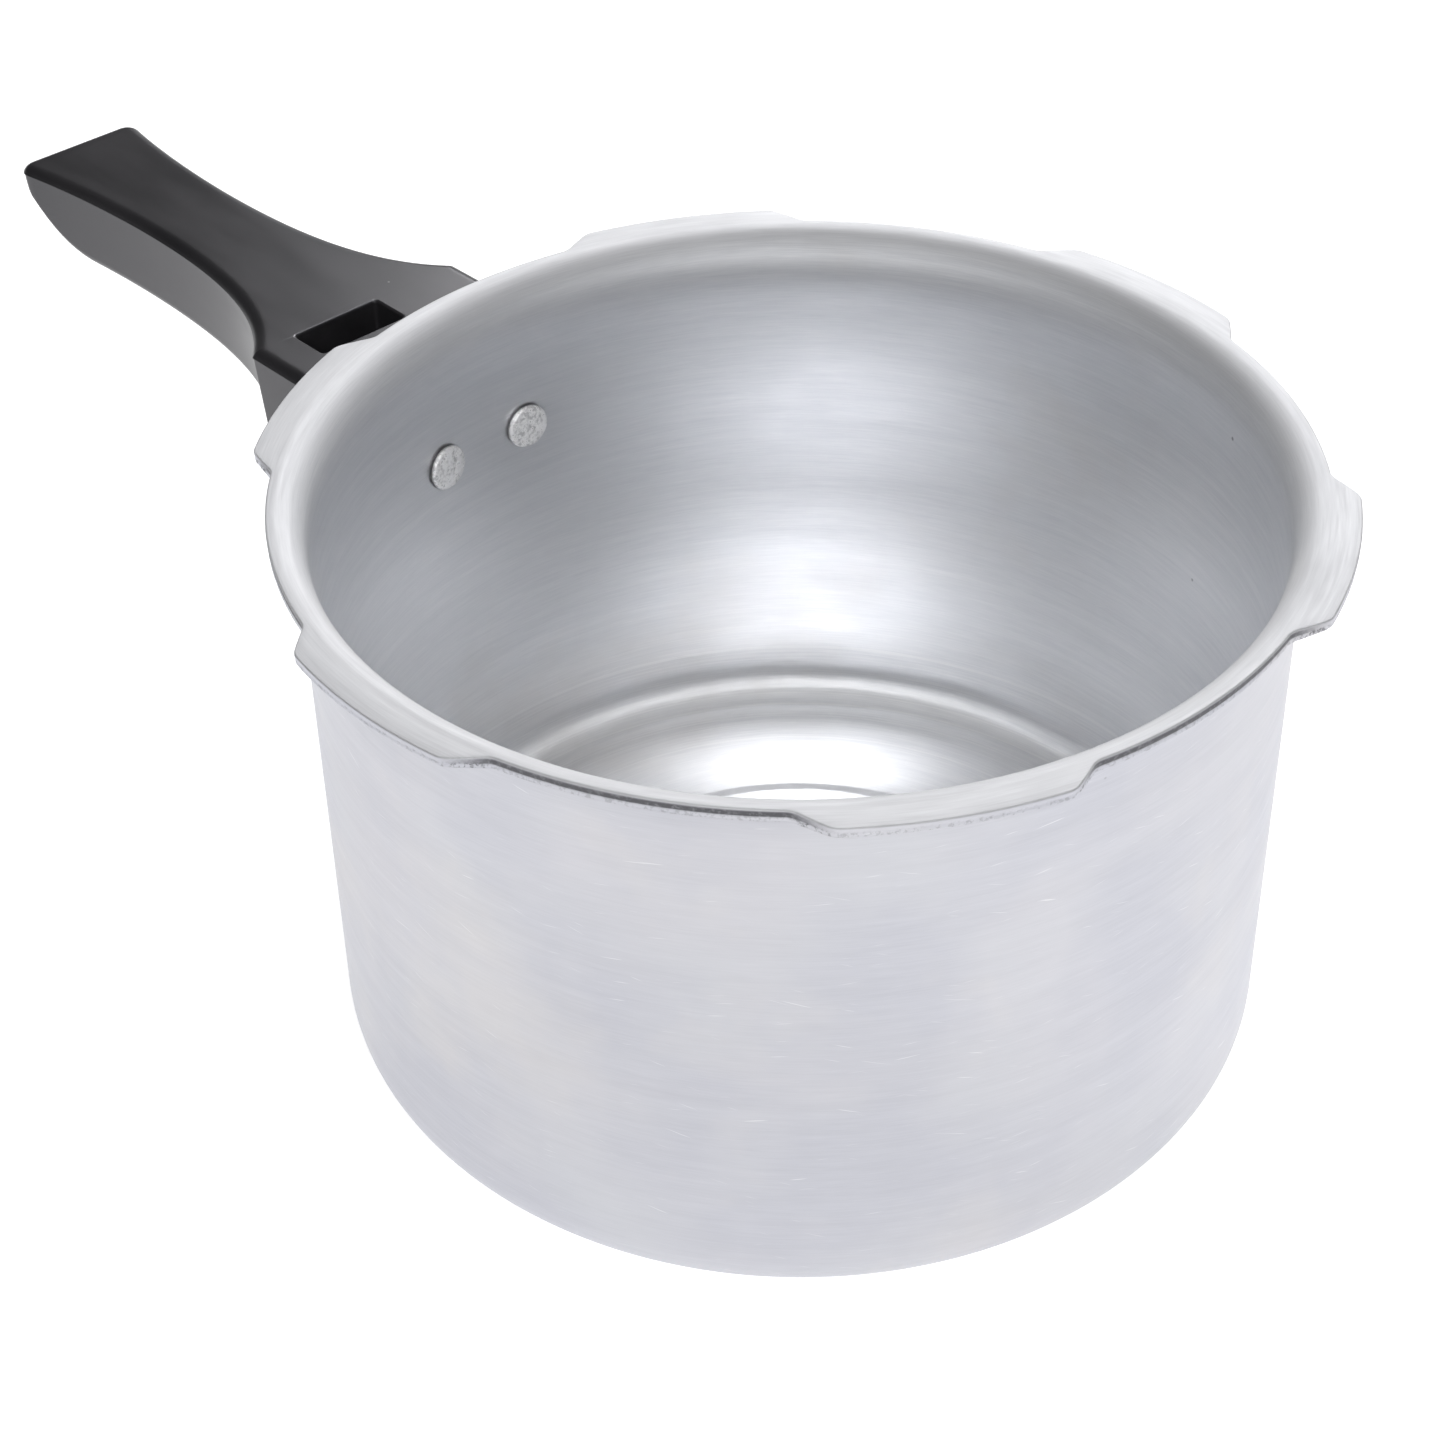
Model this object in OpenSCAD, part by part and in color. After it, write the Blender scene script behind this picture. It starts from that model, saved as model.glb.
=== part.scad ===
// Lower pan of a stovetop pressure cooker: drawn aluminium pan with a six-lug flange,
// a pressed steel bracket riveted to its wall, and a moulded handle screwed to the bracket.
// Millimetres. +Z is up and +X runs along the handle.
// The origin is on the axis of the pan, on the flat underside of its base.

/* [Pan] */
// Outside radius of the wall
wall_r = 103; // [95:0.5:110]
// Thickness of the wall
wall_t = 2.5; // [2:0.1:3]
// Thickness of the floor
floor_t = 3.5; // [3:0.1:5]
// Height from the base to the top of the flange
pan_h = 135.7; // [132:0.1:140]
// Outside radius of the corner between the wall and the base
base_corner_r = 13.6; // [8:0.2:18]
// Radius of the turned step in the middle of the floor
floor_ring_r = 62; // [40:1:75]
// Depth of the turned step in the floor
floor_ring_depth = 0.4; // [0.2:0.1:0.8]

/* [Flange] */
// Thickness of the flange at its root
flange_t = 3; // [2.5:0.1:3.5]
// Thickness of a lug at its outer edge
lug_edge_t = 2.2; // [1.8:0.1:2.6]
// Radius of the flange between two lugs
gap_r = 108.3; // [107.9:0.1:109]
// Radius of the flange at the lugs
lug_r = 113.5; // [112:0.5:116]
// Number of lugs
lug_count = 6; // [6:1:6]
// Angle from the handle to the middle of the first lug
lug_phase = 30; // [30:1:30]
// Angle that a lug spans at its foot
lug_foot_angle = 30; // [26:1:34]
// Angle that a lug spans at its crown
lug_crown_angle = 22.5; // [18:0.5:24]
// Inside radius of the flare that turns the wall out into the flange
flare_r = 6.4; // [5:0.1:6.9]
// Slope at which the slow outward flare meets the tight one
flare_angle = 22.5; // [15:0.5:30]

/* [Rivets] */
// Height of the rivets above the base
rivet_z = 99; // [97:0.5:100]
// Angle between each rivet and the midpoint of the pair
rivet_angle = 7.07; // [6.9:0.01:7.3]
// Angle from the middle of the handle to the midpoint of the pair
rivet_mid_angle = 2; // [1.5:0.1:2.2]
// Diameter of the rivet's shank
rivet_d = 6; // [5:0.1:6]
// Diameter of the domed head inside the pan
rivet_head_d = 10.4; // [9:0.1:11]
// Height of the domed head
rivet_head_h = 2.2; // [1.5:0.1:3]
// Diameter of the closed head on the bracket
rivet_tail_d = 9; // [8:0.1:9.4]
// Height of the closed head
rivet_tail_h = 2.4; // [1.5:0.1:2.6]

/* [Bracket] */
// Thickness of the bracket's steel
bracket_t = 2; // [1.5:0.1:2]
// Width of the channel that carries the handle
channel_w = 12; // [12:0.1:12.4]
// Height of the web's underside above the base
channel_z = 96; // [95.5:0.1:96.5]
// Height of the channel
channel_h = 6.5; // [6:0.1:6.5]
// Distance from the axis of the pan to the end of the channel
channel_end = 176; // [172:1:178]
// Half the angle that the two riveted ears span on the wall
ear_angle = 11.5; // [11:0.1:12]
// Height of the bottom of the ears
ear_z = 91; // [90.5:0.5:92]
// Height of the ears
ear_h = 16; // [15:0.5:17]

/* [Handle] */
// Height of the handle's flat top above the base
handle_top_z = 113.5; // [113:0.1:114]
// Distance from the axis of the pan to the tip
handle_tip_x = 272.7; // [268:0.1:280]
// Half width at the tip
tip_half_w = 17.6; // [16:0.1:20]
// Half width at the narrowest place of the grip
waist_half_w = 13.4; // [13:0.1:15]
// Distance from the axis of the pan to the narrowest place
waist_x = 218; // [212:1:224]
// Half width of the head
head_half_w = 30.4; // [29:0.1:32]
// Distance from the axis of the pan to the outer corners of the head
head_x = 151.5; // [150.5:0.1:153]
// Height of the handle's underside at the pan
head_under_z = 86.2; // [85.5:0.1:87]
// Height of the handle's underside where the tip starts to rise
tip_under_z = 91; // [90:0.1:92]
// Distance from the axis of the pan to the place where the tip starts to rise
tip_rise_x = 249; // [244:1:254]
// Height of the upright edge at the tip
tip_edge_h = 3; // [2:0.5:5]
// Radius of the tip's corners seen from above
tip_corner_r = 4; // [2:0.5:6]
// Thickness of the handle's walls
handle_wall_t = 4; // [3.5:0.1:4.5]

/* [Slot for the lid's catch] */
// Width of the slot across the handle
slot_w = 24; // [22:0.5:24]
// Length of the slot along the handle
slot_l = 11.2; // [10:0.1:12.5]
// Depth of the slot
slot_depth = 8; // [6:0.5:8]
// Distance from the axis of the pan to the slot's outer edge
slot_end_x = 150; // [149:0.5:150.5]
// Distance from the middle of the handle to the middle of the slot
slot_offset = 7; // [6:0.5:8]

/* [Handle screws] */
// Nominal diameter of the screws
screw_d = 5; // [5:0.1:5]
// Distance from the axis of the pan to the front screw
front_screw_x = 132; // [130:1:133]
// Distance from the axis of the pan to the rear screw
rear_screw_x = 162; // [160:1:164]
// Height of the face that the washers bear on
screw_seat_z = 93.2; // [93:0.1:93.4]
// Diameter of the screw head
screw_head_d = 9.5; // [9:0.1:9.5]
// Height of the screw head
screw_head_h = 3.2; // [3:0.1:3.3]
// Width of the square nuts across their flats
nut_w = 7.8; // [7.7:0.1:7.8]
// Thickness of the square nuts
nut_t = 2.7; // [2.5:0.1:3]

/* [Hidden] */
$fn = 96;

aluminium = [0.84, 0.85, 0.88];
rivet_metal = [0.74, 0.75, 0.77];
steel = [0.60, 0.61, 0.63];
zinc = [0.70, 0.70, 0.66];
phenolic = [0.16, 0.16, 0.17];

// Small distance that lets a cut run past the face it opens
past = 1;
inner_r = wall_r - wall_t;
inner_corner_r = base_corner_r - wall_t;

// The tight flare turns about one centre, inside and outside
flare_out_r = flare_r - flange_t;
// How far the slow flare carries the wall outward before the tight one turns it over
flare_shift = 0.5;
flare_x = inner_r + flare_r + flare_shift;
flare_z = pan_h - flare_r;
arc_steps = 8;

web_top = channel_z + bracket_t;
ear_r = wall_r + bracket_t;
// The bracket and the screws are centred on the pair of rivets, beside the handle's middle
bracket_y = wall_r * sin(rivet_mid_angle);
// Gap between the handle and the metal it is fitted over
fit_gap = 0.15;
// Room around the closed heads of the rivets
tail_room = 1.2;
slot_floor_z = handle_top_z - slot_depth;
tip_face_z = handle_top_z - tip_edge_h;
// The handle starts inside the wall, and its front is then cut to the wall's curve
handle_start_x = wall_r - 10;
// How far each end of the outline's curves is pulled along its tangent
head_pull = [12.5, -11.9];
waist_in_pull = [33, 0];
waist_out_pull = [18, 0];
tip_pull = [17, 2.4];
// The same for the curve under the tip in the side view
tip_drop = [4.6, 10];
rise_pull = [12.5, 0.4];

washer_t = 1;
spring_t = 1.2;
washer_d = 10;
spring_d = 9.2;
washer_hole_d = 5.3;
washer_seat_d = 10.6;
head_top_z = screw_seat_z - washer_t - spring_t;
screw_past_nut = 1.2;
screw_end_z = web_top + nut_t + screw_past_nut;
screw_hole_d = 5.5;

// Point at parameter t on a cubic curve with four control points
function bezier(p, t) = pow(1 - t, 3) * p[0] + 3 * pow(1 - t, 2) * t * p[1]
  + 3 * (1 - t) * t * t * p[2] + pow(t, 3) * p[3];
function curve(p, steps) = [for (i = [0 : steps]) bezier(p, i / steps)];
// Points on an arc about [x, z], where angle 0 points to the axis and 90 points up
function arc(x, z, r, a, b) =
  [for (i = [0 : arc_steps]) let (t = a + (b - a) * i / arc_steps) [x - r * cos(t), z + r * sin(t)]];
// Flare from a straight wall at radius wall up to the flange: a slow arc, then a tight one of radius tight
function flare(wall, tight) = let (
    slow = (flare_x - wall - tight * cos(flare_angle)) / (1 - cos(flare_angle)))
  concat(arc(wall + slow, flare_z - (slow - tight) * sin(flare_angle), slow, 0, flare_angle),
    arc(flare_x, flare_z, tight, flare_angle, 90));

// Half of the pan's section, from the middle of the base out to the flange and back inside
module pan_section() {
  outside = flare(wall_r, flare_out_r);
  inside = flare(inner_r, flare_r);
  difference() {
    union() {
      translate([0, base_corner_r]) square([wall_r, outside[0][1] - base_corner_r]);
      square([wall_r - base_corner_r, base_corner_r + past]);
      translate([wall_r - base_corner_r, base_corner_r]) circle(r = base_corner_r);
      polygon(concat([[0, outside[0][1]]], outside,
        [[lug_r, pan_h - lug_edge_t], [lug_r, pan_h], [0, pan_h]]));
    }
    translate([0, floor_t]) square([inner_r - inner_corner_r, pan_h]);
    translate([0, floor_t + inner_corner_r])
      square([inner_r, inside[0][1] - floor_t - inner_corner_r]);
    translate([inner_r - inner_corner_r, floor_t + inner_corner_r]) circle(r = inner_corner_r);
    translate([0, floor_t - floor_ring_depth]) square([floor_ring_r, floor_t]);
    polygon(concat([[0, inside[0][1]]], inside, [[0, pan_h]]));
  }
}

// Outline of one lug, about the +X axis
module lug_outline() {
  foot = lug_foot_angle / 2;
  crown = lug_crown_angle / 2;
  intersection() {
    circle(r = lug_r);
    polygon([[0, 0],
      gap_r * [cos(foot), -sin(foot)], lug_r * [cos(crown), -sin(crown)], [lug_r + past, 0],
      lug_r * [cos(crown), sin(crown)], gap_r * [cos(foot), sin(foot)]]);
  }
}

// Outline of the flange seen from above
module flange_outline() {
  circle(r = gap_r);
  for (i = [0 : lug_count - 1]) rotate(lug_phase + i * 360 / lug_count) lug_outline();
}

// Places its children at a rivet, with +Z pointing out of the pan. side is 1 or -1.
module at_rivet(side) {
  rotate([0, 0, rivet_mid_angle + side * rivet_angle])
    translate([0, 0, rivet_z]) rotate([0, 90, 0]) children();
}

// Shank of a rivet, and the bore that it fills through the wall and the bracket
module rivet_shank(side) {
  at_rivet(side) translate([0, 0, inner_r - past])
    cylinder(d = rivet_d, h = wall_t + bracket_t + 2 * past);
}

// Places its children under each handle screw
module at_screws() {
  for (x = [front_screw_x, rear_screw_x]) translate([x, bracket_y, 0]) children();
}

module pot_shell() {
  color(aluminium) difference() {
    intersection() {
      rotate_extrude() pan_section();
      linear_extrude(height = pan_h) flange_outline();
    }
    for (side = [-1, 1]) rivet_shank(side);
  }
}

// Domed cap of diameter d and height h, standing on z = 0
module dome(d, h) {
  ball_r = (d * d / 4 + h * h) / (2 * h);
  intersection() {
    translate([0, 0, h - ball_r]) sphere(r = ball_r);
    cylinder(d = d, h = h);
  }
}

// One rivet: domed head inside the pan, shank, and closed head on the bracket
module rivet(side) {
  // The underside of the head follows the wall, so the dome starts a little inside it
  seat = 0.3;
  color(rivet_metal) union() {
    difference() {
      at_rivet(side) translate([0, 0, inner_r + seat]) mirror([0, 0, 1])
        dome(rivet_head_d, rivet_head_h + seat);
      difference() {
        cylinder(r = wall_r, h = pan_h);
        translate([0, 0, -past]) cylinder(r = inner_r, h = pan_h + 2 * past);
      }
    }
    rivet_shank(side);
    difference() {
      at_rivet(side) translate([0, 0, ear_r - seat]) dome(rivet_tail_d, rivet_tail_h + seat);
      cylinder(r = ear_r, h = pan_h);
    }
  }
}

module rivet_left() { rivet(1); }

module rivet_right() { rivet(-1); }

// Pressed channel, open upwards, with two ears turned out along the wall of the pan
module handle_bracket() {
  half = channel_w / 2;
  color(steel) difference() {
    union() {
      rotate([0, 0, rivet_mid_angle - ear_angle]) rotate_extrude(angle = 2 * ear_angle)
        translate([wall_r, ear_z]) square([bracket_t, ear_h]);
      // The channel starts within the thickness of the ears
      difference() {
        translate([wall_r, bracket_y - half, channel_z])
          cube([channel_end - wall_r, channel_w, channel_h]);
        translate([wall_r - past, bracket_y - half + bracket_t, web_top])
          cube([channel_end, channel_w - 2 * bracket_t, channel_h]);
        cylinder(r = wall_r + bracket_t / 2, h = pan_h);
      }
    }
    for (side = [-1, 1]) rivet_shank(side);
    at_screws() translate([0, 0, channel_z - past])
      cylinder(d = screw_hole_d, h = bracket_t + 2 * past);
  }
}

// Half outline of the handle, from the pan to the middle of the tip, drawn in by inset
function handle_side(inset) = let (
    head = [head_x - inset, head_half_w - inset],
    waist = [waist_x, waist_half_w - inset],
    tip = [handle_tip_x - inset, tip_half_w - inset],
    r = tip_corner_r)
  concat(
    [[handle_start_x, head[1]]],
    curve([head, head + head_pull, waist - waist_in_pull, waist], 12),
    curve([waist, waist + waist_out_pull, tip - tip_pull, tip - [r, 0]], 6),
    [for (a = [60, 30, 0]) tip - [r, r] + r * [cos(a), sin(a)]]);

module handle_outline(inset) {
  side = handle_side(inset);
  polygon(concat(side, [for (i = [len(side) - 1 : -1 : 0]) [side[i][0], -side[i][1]]]));
}

// Side view of the handle
module handle_profile() {
  tip = [handle_tip_x, tip_face_z];
  rise = [tip_rise_x, tip_under_z];
  polygon(concat(
    [[handle_start_x, head_under_z], [handle_start_x, handle_top_z], [handle_tip_x, handle_top_z]],
    curve([tip, tip - tip_drop, rise + rise_pull, rise], 8)));
}

// Hollow on the underside of the grip, crossed by ribs
module grip_hollow() {
  end_wall_t = 3;
  solid_tip_l = 18;
  start_x = channel_end + end_wall_t;
  end_x = handle_tip_x - solid_tip_l;
  rib_count = 4;
  pitch = (end_x - start_x) / rib_count;
  rib_t = 2.4;
  top_t = 4.5;
  intersection() {
    translate([0, 0, head_under_z - past])
      linear_extrude(height = handle_top_z - top_t - head_under_z + past) handle_outline(handle_wall_t);
    for (i = [0 : rib_count - 1]) translate([start_x + i * pitch, -head_half_w, 0])
      cube([pitch - rib_t, 2 * head_half_w, pan_h]);
  }
}

// Hollows on the underside of the head, one on each side of the screw boss
module head_hollows() {
  start_x = 114;
  boss_half_w = 9;
  roof_t = 3.5;
  wall_y = head_half_w - handle_wall_t;
  top_z = slot_floor_z - roof_t;
  for (y = [[-wall_y, bracket_y - boss_half_w], [bracket_y + boss_half_w, wall_y]])
    translate([start_x, y[0], head_under_z - past])
      cube([head_x - handle_wall_t - start_x, y[1] - y[0], top_z - head_under_z + past]);
}

module handle() {
  half = channel_w / 2 + fit_gap;
  side_room = 2;
  end_room = 1;
  ear_half_w = ear_r * sin(ear_angle) + side_room;
  color(phenolic) difference() {
    intersection() {
      translate([0, 0, head_under_z - past]) linear_extrude(height = handle_top_z - head_under_z + past)
        handle_outline(0);
      translate([0, head_half_w + past, 0]) rotate([90, 0, 0])
        linear_extrude(height = 2 * (head_half_w + past)) handle_profile();
    }
    // Front face that follows the wall
    translate([0, 0, head_under_z - past]) cylinder(r = wall_r + fit_gap, h = pan_h);
    // Room for the ears and the closed heads of the rivets
    intersection() {
      translate([handle_start_x, bracket_y - ear_half_w, ear_z - end_room])
        cube([head_x - handle_start_x, 2 * ear_half_w, ear_h + 2 * end_room]);
      cylinder(r = ear_r + rivet_tail_h + tail_room, h = pan_h);
    }
    // Socket for the channel
    translate([handle_start_x, bracket_y - half, channel_z])
      cube([channel_end + fit_gap - handle_start_x, 2 * half, channel_h + fit_gap]);
    // Slot for the lid's catch
    translate([slot_end_x - slot_l, slot_offset - slot_w / 2, slot_floor_z])
      cube([slot_l, slot_w, slot_depth + past]);
    at_screws() {
      cylinder(d = washer_seat_d, h = screw_seat_z);
      cylinder(d = screw_hole_d, h = channel_z + past);
    }
    grip_hollow();
    head_hollows();
  }
}

// Pan-head screw with a cross recess, driven from below
module screw(x) {
  recess_w = 1.2;
  recess_l = 5;
  recess_depth = 1.8;
  crown_h = 1;
  color(zinc) translate([x, bracket_y, head_top_z]) difference() {
    union() {
      mirror([0, 0, 1]) cylinder(d = screw_head_d, h = screw_head_h - crown_h);
      translate([0, 0, crown_h - screw_head_h]) mirror([0, 0, 1]) dome(screw_head_d, crown_h);
      cylinder(d = screw_d, h = screw_end_z - head_top_z);
    }
    for (turn = [0, 90]) rotate(turn)
      translate([-recess_l / 2, -recess_w / 2, -screw_head_h - past])
        cube([recess_l, recess_w, recess_depth + past]);
  }
}

module screw_front() { screw(front_screw_x); }

module screw_rear() { screw(rear_screw_x); }

module plain_washer(x) {
  color(zinc) translate([x, bracket_y, screw_seat_z - washer_t]) difference() {
    cylinder(d = washer_d, h = washer_t);
    translate([0, 0, -past]) cylinder(d = washer_hole_d, h = washer_t + 2 * past);
  }
}

module plain_washer_front() { plain_washer(front_screw_x); }

module plain_washer_rear() { plain_washer(rear_screw_x); }

// Split ring, closed flat as it is under a tight screw
module spring_washer(x) {
  split_w = 0.6;
  color(steel) translate([x, bracket_y, head_top_z]) difference() {
    cylinder(d = spring_d, h = spring_t);
    translate([0, 0, -past]) cylinder(d = washer_hole_d, h = spring_t + 2 * past);
    translate([0, -split_w / 2, -past]) cube([spring_d, split_w, spring_t + 2 * past]);
  }
}

module spring_washer_front() { spring_washer(front_screw_x); }

module spring_washer_rear() { spring_washer(rear_screw_x); }

// Square nut held between the walls of the channel
module square_nut(x) {
  thread_gap = 0.04;
  color(zinc) translate([x, bracket_y, web_top]) difference() {
    translate([-nut_w / 2, -nut_w / 2, 0]) cube([nut_w, nut_w, nut_t]);
    translate([0, 0, -past]) cylinder(d = screw_d + thread_gap, h = nut_t + 2 * past);
  }
}

module nut_front() { square_nut(front_screw_x); }

module nut_rear() { square_nut(rear_screw_x); }

pot_shell();
handle_bracket();
rivet_left();
rivet_right();
handle();
screw_front();
screw_rear();
spring_washer_front();
spring_washer_rear();
plain_washer_front();
plain_washer_rear();
nut_front();
nut_rear();
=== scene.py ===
# Looks for the lower pan of a stovetop pressure cooker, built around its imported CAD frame.
# Sizes in the mesh code are millimetres, as in the CAD source, and MM turns them into metres.
import math

import bpy
from mathutils import Matrix, Quaternion, Vector, noise


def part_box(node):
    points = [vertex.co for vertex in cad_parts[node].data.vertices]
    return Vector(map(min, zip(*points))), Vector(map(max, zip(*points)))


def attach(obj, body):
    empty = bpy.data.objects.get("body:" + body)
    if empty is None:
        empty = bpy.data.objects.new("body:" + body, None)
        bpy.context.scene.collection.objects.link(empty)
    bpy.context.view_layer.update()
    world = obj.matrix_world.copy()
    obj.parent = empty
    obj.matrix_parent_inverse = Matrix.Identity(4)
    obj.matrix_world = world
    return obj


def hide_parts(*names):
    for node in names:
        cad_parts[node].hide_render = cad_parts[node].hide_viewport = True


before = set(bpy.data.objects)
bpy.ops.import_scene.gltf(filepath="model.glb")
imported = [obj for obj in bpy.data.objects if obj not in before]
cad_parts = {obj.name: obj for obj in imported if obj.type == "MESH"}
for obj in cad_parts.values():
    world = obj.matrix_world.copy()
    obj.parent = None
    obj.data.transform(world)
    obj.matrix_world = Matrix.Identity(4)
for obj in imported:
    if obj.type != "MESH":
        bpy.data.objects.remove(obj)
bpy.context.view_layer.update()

MM = 0.001

# ------------------------------------------------------------------ sizes of the pan
pan_low, pan_high = (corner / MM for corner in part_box("pot_shell"))
PAN_H = pan_high.z
LUG_R = pan_high.y
GAP_R = min(pan_high.x, -pan_low.x)
WALL_R = 103
WALL_T = 2.5
FLOOR_T = 3.5
BASE_CORNER_R = 13.6
FLOOR_RING_R = 62
FLOOR_RING_DEPTH = 0.4
FLANGE_T = 3
LUG_EDGE_T = 2.2
LUG_COUNT = 6
LUG_PHASE = 30
LUG_FOOT = 15
LUG_CROWN = 11.25
# Share of a lug's slanted end that each of its rounded corners takes up
LUG_ROUND = 0.18
# How deep the shears tear the ends of the lugs
TEAR_DEPTH = 0.09
FLARE_R = 6.4
FLARE_ANGLE = 22.5
FLARE_SHIFT = 0.5
INNER_R = WALL_R - WALL_T
FLARE_X = INNER_R + FLARE_R + FLARE_SHIFT
FLARE_Z = PAN_H - FLARE_R

# ------------------------------------------------------------------ sizes of the fittings
RIVET_Z = 99
RIVET_ANGLE = 7.07
RIVET_MID_ANGLE = 2
BRACKET_T = 2
BRACKET_Y = WALL_R * math.sin(math.radians(RIVET_MID_ANGLE))

handle_low, handle_high = (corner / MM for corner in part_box("handle"))
HANDLE_TOP = handle_high.z
TIP_X = handle_high.x
HEAD_HALF_W = handle_high.y
HEAD_UNDER = handle_low.z
HANDLE_START_X = WALL_R - 10
HEAD_X = 151.5
WAIST = (218, 13.4)
TIP_HALF_W = 17.6
TIP_CORNER_R = 4
TIP_UNDER = 91
TIP_RISE_X = 249
TIP_EDGE_H = 3
FIT_GAP = 0.15
# How far from the head's corners their rounding starts
CORNER_CUT = 0.7
# Where the handle's narrowing side heads from the head's corner
HEAD_PULL = (12.5, -11.9)


def polar(radius, degrees):
    """Point on a circle about the origin."""
    angle = math.radians(degrees)
    return radius * math.cos(angle), radius * math.sin(angle)


def lerp(a, b, t):
    return a + (b - a) * t


def steps(count):
    """Shares from 0 to 1 in count equal steps."""
    return [i / count for i in range(count + 1)]


def bezier(points, t):
    """Point on a cubic curve with four control points."""
    s = 1 - t
    weights = (s**3, 3 * s * s * t, 3 * s * t * t, t**3)
    return tuple(sum(w * p[k] for w, p in zip(weights, points)) for k in (0, 1))


def grain(point, size, seed=0):
    """Smooth noise between about -1 and 1 whose lumps are size across."""
    return noise.noise(Vector(point) / size + Vector((seed, seed * 0.7, -seed)))


def new_mesh(name, points, faces):
    """Mesh object from points in millimetres."""
    mesh = bpy.data.meshes.new(name)
    mesh.from_pydata([Vector(p) * MM for p in points], [], faces)
    mesh.validate()
    mesh.polygons.foreach_set("use_smooth", [True] * len(mesh.polygons))
    piece = bpy.data.objects.new(name, mesh)
    bpy.context.scene.collection.objects.link(piece)
    return piece


def stands_for(piece, slot, *nodes):
    """The piece rides on the frame in place of those CAD nodes."""
    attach(piece, "root")
    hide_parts(*nodes)


def skin(rings, closed):
    """Faces between rings of equal length, whose points are numbered ring by ring."""
    n = len(rings[0])
    last = n if closed else n - 1
    return [(i * n + j, i * n + (j + 1) % n, (i + 1) * n + (j + 1) % n, (i + 1) * n + j)
            for i in range(len(rings) - 1) for j in range(last)]


def lathe(section, turns):
    """Points and faces of a section of (radius, height) turned about Z. Both its ends lie on the axis."""
    rings = [[(*polar(r, 360 * k / turns), z) for k in range(turns)] for r, z in section[1:-1]]
    points = [p for ring in rings for p in ring]
    faces = skin(rings, True)
    first, last = len(points), len(points) + 1
    points += [(0, 0, section[0][1]), (0, 0, section[-1][1])]
    end = (len(rings) - 1) * turns
    faces += [(first, (k + 1) % turns, k) for k in range(turns)]
    faces += [(last, end + k, end + (k + 1) % turns) for k in range(turns)]
    return points, faces


# ------------------------------------------------------------------ the pan
def ramp(t, half):
    """Rises from 0 at t = 0 to 1 at t = 1, with each corner rounded over half on both its sides."""
    def area(u):
        return 0 if u < 0 else u * u / 2 if u < 1 else u - 0.5
    return (area(t + half) - area(t - half)) / (2 * half)


def lug_share(degrees):
    """0 in a gap of the flange, 1 on a lug, and between them on a lug's slanted end."""
    pitch = 360 / LUG_COUNT
    off = abs((degrees - LUG_PHASE + pitch / 2) % pitch - pitch / 2)
    return ramp((LUG_FOOT - off) / (LUG_FOOT - LUG_CROWN), LUG_ROUND)


def pan_angles():
    """Directions of the pan's sections: close together at the lugs' ends, wider elsewhere."""
    fine, coarse, reach = 0.2, 0.8, 2.8
    middle = (LUG_FOOT + LUG_CROWN) / 2
    pitch = 360 / LUG_COUNT
    half, off = [], 0
    while off < pitch / 2 - fine / 2:
        half.append(off)
        off += fine if abs(off - middle) < reach else coarse
    one = [-a for a in reversed(half[1:])] + half + [pitch / 2]
    return [LUG_PHASE + lug * pitch + a for lug in range(LUG_COUNT) for a in one]


def arc(x, z, r, start, end, count):
    """Points on an arc about (x, z), where angle 0 points to the axis and 90 points up."""
    turns = [math.radians(lerp(start, end, t)) for t in steps(count)]
    return [(x - r * math.cos(a), z + r * math.sin(a)) for a in turns]


def flare(wall, tight):
    """Curve from a straight wall at radius wall up to the flange: a slow arc, then one of radius tight."""
    cosine, sine = polar(1, FLARE_ANGLE)
    slow = (FLARE_X - wall - tight * cosine) / (1 - cosine)
    gentle = arc(wall + slow, FLARE_Z - (slow - tight) * sine, slow, 0, FLARE_ANGLE, 6)
    return gentle[:-1] + arc(FLARE_X, FLARE_Z, tight, FLARE_ANGLE, 90, 9)


def pan_profile():
    """The two stretches of the section that are the same all round: from the middle of the base up to
    the flange outside, and from the flange inside down to the middle of the floor."""
    outside = flare(WALL_R, FLARE_R - FLANGE_T)
    inside = flare(INNER_R, FLARE_R)
    base = [(r, 0) for r in (0, 3, 10, 25, 40, 55, 70, 80)]
    base += arc(WALL_R - BASE_CORNER_R, BASE_CORNER_R, BASE_CORNER_R, -90, -180, 14)
    base += [(WALL_R, lerp(BASE_CORNER_R, outside[0][1], t)) for t in steps(16)[1:-1]]
    corner_r = BASE_CORNER_R - WALL_T
    floor_z = FLOOR_T + corner_r
    well = [(INNER_R, lerp(inside[0][1], floor_z, t)) for t in steps(16)[1:-1]]
    well += reversed(arc(INNER_R - corner_r, floor_z, corner_r, -90, -180, 14))
    low = FLOOR_T - FLOOR_RING_DEPTH
    well += [(80, FLOOR_T), (70, FLOOR_T)]
    well += [(FLOOR_RING_R + 0.8, FLOOR_T), (FLOOR_RING_R + 0.2, FLOOR_T - 0.06)]
    well += [(FLOOR_RING_R - 1, low + 0.05), (FLOOR_RING_R - 1.6, low)]
    well += [(r, low) for r in (55, 40, 25, 12, 5, 0)]
    return base + outside, list(reversed(inside)) + well


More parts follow.
